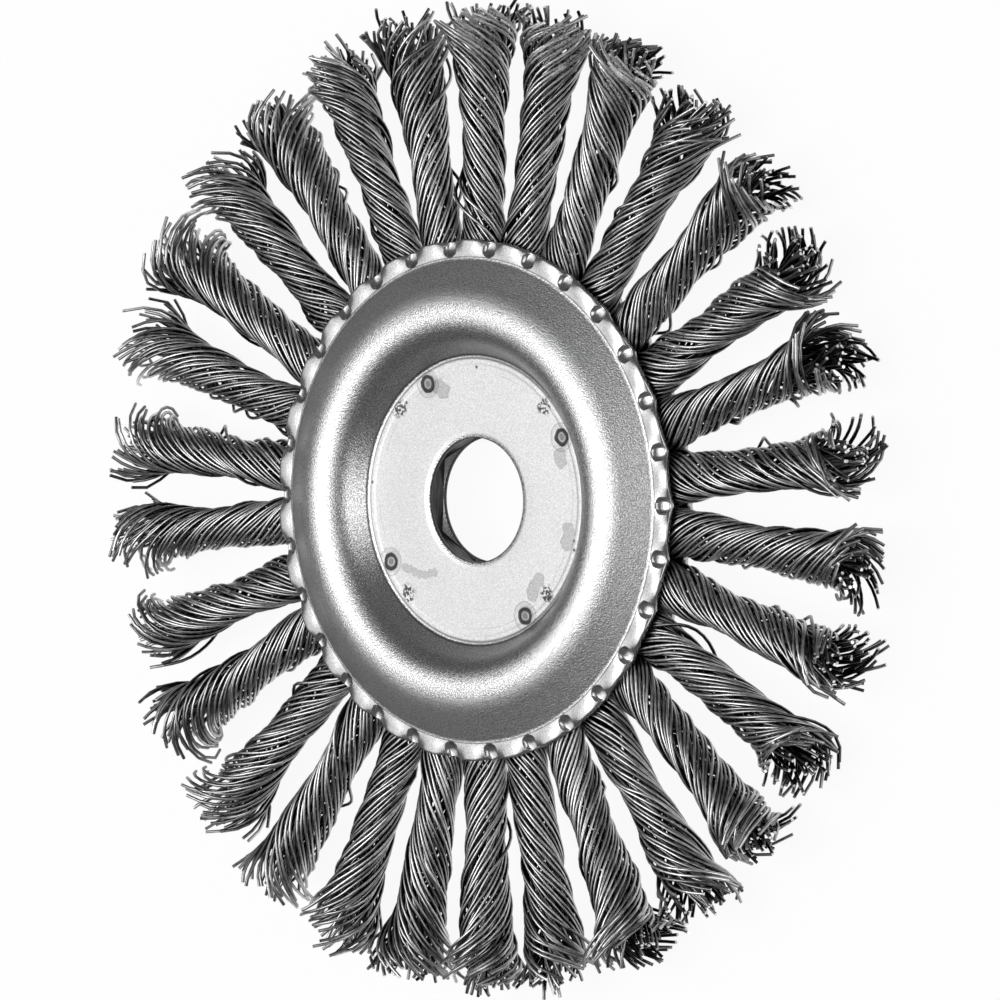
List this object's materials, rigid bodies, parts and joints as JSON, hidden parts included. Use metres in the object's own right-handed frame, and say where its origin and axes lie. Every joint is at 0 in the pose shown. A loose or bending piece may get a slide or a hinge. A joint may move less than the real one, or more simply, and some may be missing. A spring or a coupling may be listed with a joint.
{
  "type": "wire wheel brush",
  "caption": "Twisted-knot wire wheel brush with two pressed steel flanges and a round arbor bore, for cleaning and deburring metal on a grinder.",
  "frame": {"origin": "centre of the arbor bore, half way through the hub's thickness", "axes": "+Z along the wheel's axis, out of the front flange; +X through the middle of knot_01"},
  "size_m": [0.1781, 0.1781, 0.0174],
  "materials": {
    "front_flange": "zinc-plated, satin, with a fine crystalline grain",
    "rear_flange": "zinc-plated, satin, with a fine crystalline grain",
    "core_plate": "bare steel, sheared edges",
    "knot_01": "drawn carbon steel wire, bright cut ends",
    "knot_02": "drawn carbon steel wire, bright cut ends",
    "knot_03": "drawn carbon steel wire, bright cut ends",
    "knot_04": "drawn carbon steel wire, bright cut ends",
    "knot_05": "drawn carbon steel wire, bright cut ends",
    "knot_06": "drawn carbon steel wire, bright cut ends",
    "knot_07": "drawn carbon steel wire, bright cut ends",
    "knot_08": "drawn carbon steel wire, bright cut ends",
    "knot_09": "drawn carbon steel wire, bright cut ends",
    "knot_10": "drawn carbon steel wire, bright cut ends",
    "knot_11": "drawn carbon steel wire, bright cut ends",
    "knot_12": "drawn carbon steel wire, bright cut ends",
    "knot_13": "drawn carbon steel wire, bright cut ends",
    "knot_14": "drawn carbon steel wire, bright cut ends",
    "knot_15": "drawn carbon steel wire, bright cut ends",
    "knot_16": "drawn carbon steel wire, bright cut ends",
    "knot_17": "drawn carbon steel wire, bright cut ends",
    "knot_18": "drawn carbon steel wire, bright cut ends",
    "knot_19": "drawn carbon steel wire, bright cut ends",
    "knot_20": "drawn carbon steel wire, bright cut ends",
    "knot_21": "drawn carbon steel wire, bright cut ends",
    "knot_22": "drawn carbon steel wire, bright cut ends",
    "knot_23": "drawn carbon steel wire, bright cut ends",
    "knot_24": "drawn carbon steel wire, bright cut ends",
    "knot_25": "drawn carbon steel wire, bright cut ends",
    "knot_26": "drawn carbon steel wire, bright cut ends",
    "knot_27": "drawn carbon steel wire, bright cut ends",
    "knot_28": "drawn carbon steel wire, bright cut ends",
    "knot_29": "drawn carbon steel wire, bright cut ends",
    "knot_30": "drawn carbon steel wire, bright cut ends"
  },
  "bodies": {
    "root": {"front_flange": "front_flange", "rear_flange": "rear_flange", "core_plate": "core_plate", "knot_01": "knot_01", "knot_02": "knot_02", "knot_03": "knot_03", "knot_04": "knot_04", "knot_05": "knot_05", "knot_06": "knot_06", "knot_07": "knot_07", "knot_08": "knot_08", "knot_09": "knot_09", "knot_10": "knot_10", "knot_11": "knot_11", "knot_12": "knot_12", "knot_13": "knot_13", "knot_14": "knot_14", "knot_15": "knot_15", "knot_16": "knot_16", "knot_17": "knot_17", "knot_18": "knot_18", "knot_19": "knot_19", "knot_20": "knot_20", "knot_21": "knot_21", "knot_22": "knot_22", "knot_23": "knot_23", "knot_24": "knot_24", "knot_25": "knot_25", "knot_26": "knot_26", "knot_27": "knot_27", "knot_28": "knot_28", "knot_29": "knot_29", "knot_30": "knot_30"}
  },
  "joints": []
}
